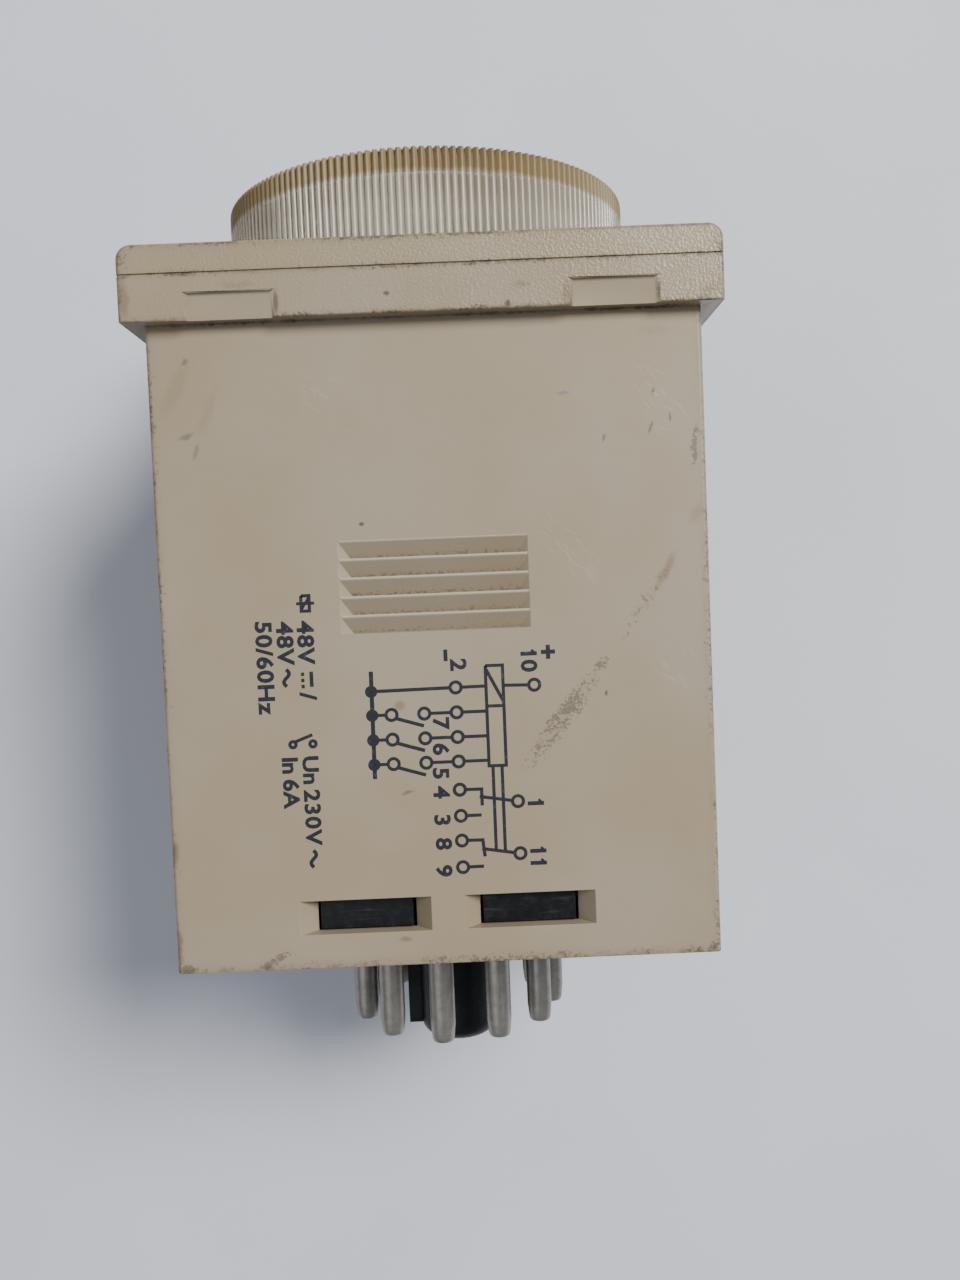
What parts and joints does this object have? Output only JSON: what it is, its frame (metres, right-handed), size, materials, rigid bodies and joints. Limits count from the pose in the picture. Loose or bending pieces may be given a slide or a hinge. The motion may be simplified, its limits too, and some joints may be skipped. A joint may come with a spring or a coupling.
{
  "type": "plug-in panel timer",
  "caption": "Square plug-in panel timer with a ribbed clear setting dial, side finger grips, latch windows and a round multi-pin plug with a key post.",
  "frame": {"origin": "centre of the pin circle in the plane of the case's rear face", "axes": "+Y leaves the case along the plug pins, the dial faces -Y, +Z is the printed side; mounted in a panel -X is up"},
  "size_m": [0.048, 0.0819, 0.048],
  "materials": {
    "case_plastic": "fine moulded matte, warm beige grey",
    "frame_plastic": "fine spark-eroded texture, warm beige grey",
    "panel_plastic": "satin",
    "scale_plastic": "printed satin",
    "green_lens": "translucent",
    "red_lens": "translucent",
    "lamp_resin": "diffused epoxy",
    "switch_plastic": "satin",
    "rotor_plastic": "satin",
    "dial_plastic": "clear, slightly yellowed",
    "pointer_plastic": "satin",
    "shaft_metal": "turned",
    "pot_metal": "plated",
    "nut_metal": "plated",
    "track_ceramic": "phenolic wafer with carbon track",
    "wiper_plastic": "satin",
    "tinned_metal": "tinned",
    "base_plastic": "black thermoset, satin",
    "board_laminate": "glass laminate with solder mask",
    "relay_plastic": "satin",
    "relay_cover_plastic": "clear",
    "soft_iron": "plated soft iron",
    "bobbin_plastic": "satin",
    "winding_wire": "enamelled copper",
    "card_plastic": "satin",
    "contact_alloy": "spring bronze with silver rivets",
    "film_plastic": "moulded",
    "capacitor_sleeve": "shrunk sleeve",
    "varistor_coating": "dipped epoxy",
    "resistor_ceramic": "ceramic",
    "chip_plastic": "moulded epoxy",
    "resistor_coating": "lacquered",
    "disc_coating": "dipped",
    "pin_metal": "tin-nickel plated brass, dull"
  },
  "bodies": {
    "case": {"housing": "case_plastic", "front_frame": "frame_plastic", "front_panel": "panel_plastic", "scale_plate": "scale_plastic", "power_lens": "green_lens", "power_lamp": "lamp_resin", "output_lens": "red_lens", "output_lamp": "lamp_resin", "range_selector_body": "switch_plastic", "mode_selector_body": "switch_plastic", "pot_case": "pot_metal", "pot_nut": "nut_metal", "pot_track": "track_ceramic", "pot_terminals": "tinned_metal", "plug_base": "base_plastic", "base_board": "board_laminate", "power_board": "board_laminate", "timing_board": "board_laminate", "front_board": "board_laminate", "board_links": "tinned_metal", "relay_base": "relay_plastic", "relay_cover": "relay_cover_plastic", "coil_core": "soft_iron", "coil_bobbin": "bobbin_plastic", "coil_winding": "winding_wire", "relay_yoke": "soft_iron", "relay_break_blades": "contact_alloy", "relay_make_blades": "contact_alloy", "film_capacitor": "film_plastic", "smoothing_capacitor": "capacitor_sleeve", "surge_varistor": "varistor_coating", "surge_resistor": "resistor_ceramic", "rectifier_diodes": "chip_plastic", "timer_chip": "chip_plastic", "timer_chip_legs": "tinned_metal", "timing_resistors": "resistor_coating", "ceramic_capacitors": "disc_coating", "driver_transistor": "chip_plastic", "pin_01": "pin_metal", "pin_02": "pin_metal", "pin_03": "pin_metal", "pin_04": "pin_metal", "pin_05": "pin_metal", "pin_06": "pin_metal", "pin_07": "pin_metal", "pin_08": "pin_metal", "pin_09": "pin_metal", "pin_10": "pin_metal", "pin_11": "pin_metal"},
    "dial": {"dial_knob": "dial_plastic", "dial_pointer": "pointer_plastic", "dial_shaft": "shaft_metal", "pot_wiper": "wiper_plastic"},
    "range_selector": {"range_selector_rotor": "rotor_plastic"},
    "mode_selector": {"mode_selector_rotor": "rotor_plastic"},
    "armature": {"relay_armature": "soft_iron"},
    "card": {"relay_card": "card_plastic"},
    "moving_contacts": {"relay_moving_blades": "contact_alloy"}
  },
  "joints": [
    {"name": "dial_turn", "type": "hinge", "parent": "case", "child": "dial", "pos_m": [0, -0.0675, 0], "axis": [0, 1, 0], "range_deg": [0, 280]},
    {"name": "range_selector_turn", "type": "hinge", "parent": "case", "child": "range_selector", "pos_m": [0.0169, -0.0585, -0.0169], "axis": [0, 1, 0], "range_deg": [0, 270]},
    {"name": "mode_selector_turn", "type": "hinge", "parent": "case", "child": "mode_selector", "pos_m": [0.0169, -0.0585, 0.0169], "axis": [0, 1, 0], "range_deg": [0, 270]},
    {"name": "armature_pull", "type": "hinge", "parent": "case", "child": "armature", "pos_m": [0.0047, -0.0234, 0], "axis": [0, 0, 1], "range_deg": [0, 5], "stiffness_Nm_per_rad": 0.01, "springref_deg": -11.46},
    {"name": "card_slide", "type": "slide", "parent": "case", "child": "card", "axis": [0, -1, 0], "range_m": [0, 0.0005]},
    {"name": "contact_change", "type": "hinge", "parent": "case", "child": "moving_contacts", "pos_m": [-0.0126, -0.02882, 0], "axis": [0, 0, -1], "range_deg": [0, 2.5]}
  ],
  "couplings": [
    {"joint": "card_slide", "follows": "armature_pull", "m_per_rad": 0.0057},
    {"joint": "contact_change", "follows": "armature_pull", "ratio": 0.5}
  ]
}
